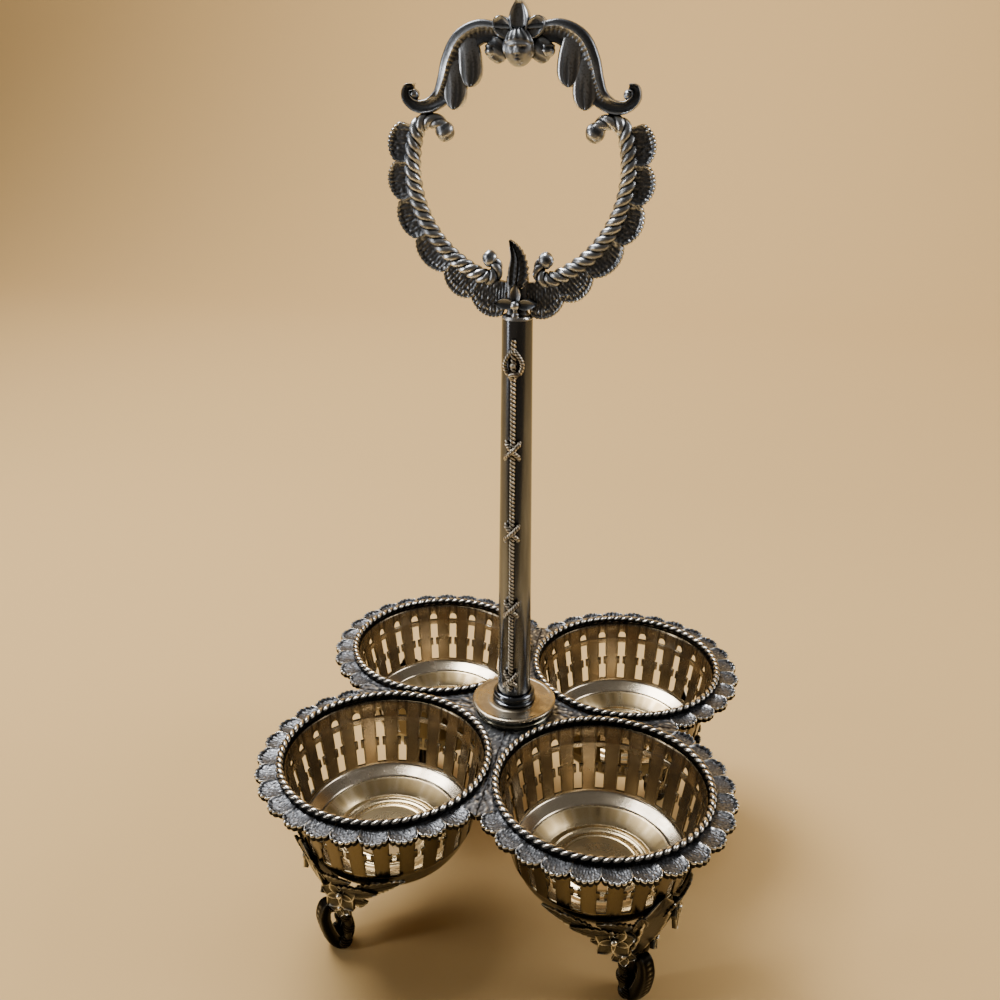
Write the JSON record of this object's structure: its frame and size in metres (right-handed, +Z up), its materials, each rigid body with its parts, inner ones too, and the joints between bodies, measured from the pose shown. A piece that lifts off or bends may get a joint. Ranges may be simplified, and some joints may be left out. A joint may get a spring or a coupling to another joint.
{
  "type": "cruet stand",
  "caption": "Footed table stand of pierced round cups in a shell-edged gallery, round a central column with an upright loop handle, for cruet bottles.",
  "frame": {"origin": "on the table, on the column's axis", "axes": "+Z up along the column; the loop handle lies in the XZ plane; -Y is the front, where the column's wire ornament is"},
  "size_m": [0.148, 0.148, 0.278],
  "materials": {
    "gallery": "cast silver plate, oxidised dark in the hollows, worn bright on the rope and lobe edges",
    "basket": "raised silver plate with a golden-brown tarnish",
    "bowl": "raised silver plate, smooth and dark",
    "foot": "cast silver plate, dark brown tarnish with bright edges",
    "disc": "spun silver plate, mottled warm tarnish with a bright rim",
    "column": "polished silver plate, dark tarnish with vertical wear",
    "wire": "fine twisted wire, dark between its strands",
    "handle": "cast silver plate, grey, oxidised dark in the hollows",
    "fixing": "plain turned brass"
  },
  "bodies": {
    "root": {"gallery_casting_front_right": "gallery", "gallery_casting_back_right": "gallery", "gallery_casting_back_left": "gallery", "gallery_casting_front_left": "gallery", "rope_border_front_right": "gallery", "rope_border_back_right": "gallery", "rope_border_back_left": "gallery", "rope_border_front_left": "gallery", "cup_basket_front_right": "basket", "cup_basket_back_right": "basket", "cup_basket_back_left": "basket", "cup_basket_front_left": "basket", "cup_dish_front_right": "basket", "cup_dish_back_right": "basket", "cup_dish_back_left": "basket", "cup_dish_front_left": "basket", "cup_bowl_front_right": "bowl", "cup_bowl_back_right": "bowl", "cup_bowl_back_left": "bowl", "cup_bowl_front_left": "bowl", "foot_leg_front_right": "foot", "foot_leg_back_right": "foot", "foot_leg_back_left": "foot", "foot_leg_front_left": "foot", "foot_spray_front_right": "foot", "foot_spray_back_right": "foot", "foot_spray_back_left": "foot", "foot_spray_front_left": "foot", "base_drum": "disc", "base_disc": "disc", "column_collar": "column", "column_tube": "column", "column_wire": "wire", "tie_rod": "fixing", "rod_washer": "fixing", "rod_nut": "fixing", "handle_socket": "handle", "handle_leaf": "handle", "handle_flower": "handle", "handle_arch": "handle", "handle_palmette": "handle", "handle_mask": "handle", "handle_ball_drops": "handle", "handle_rope_arm_left": "handle", "handle_rope_arm_right": "handle", "handle_shell_border_left": "handle", "handle_shell_border_right": "handle"}
  },
  "joints": []
}
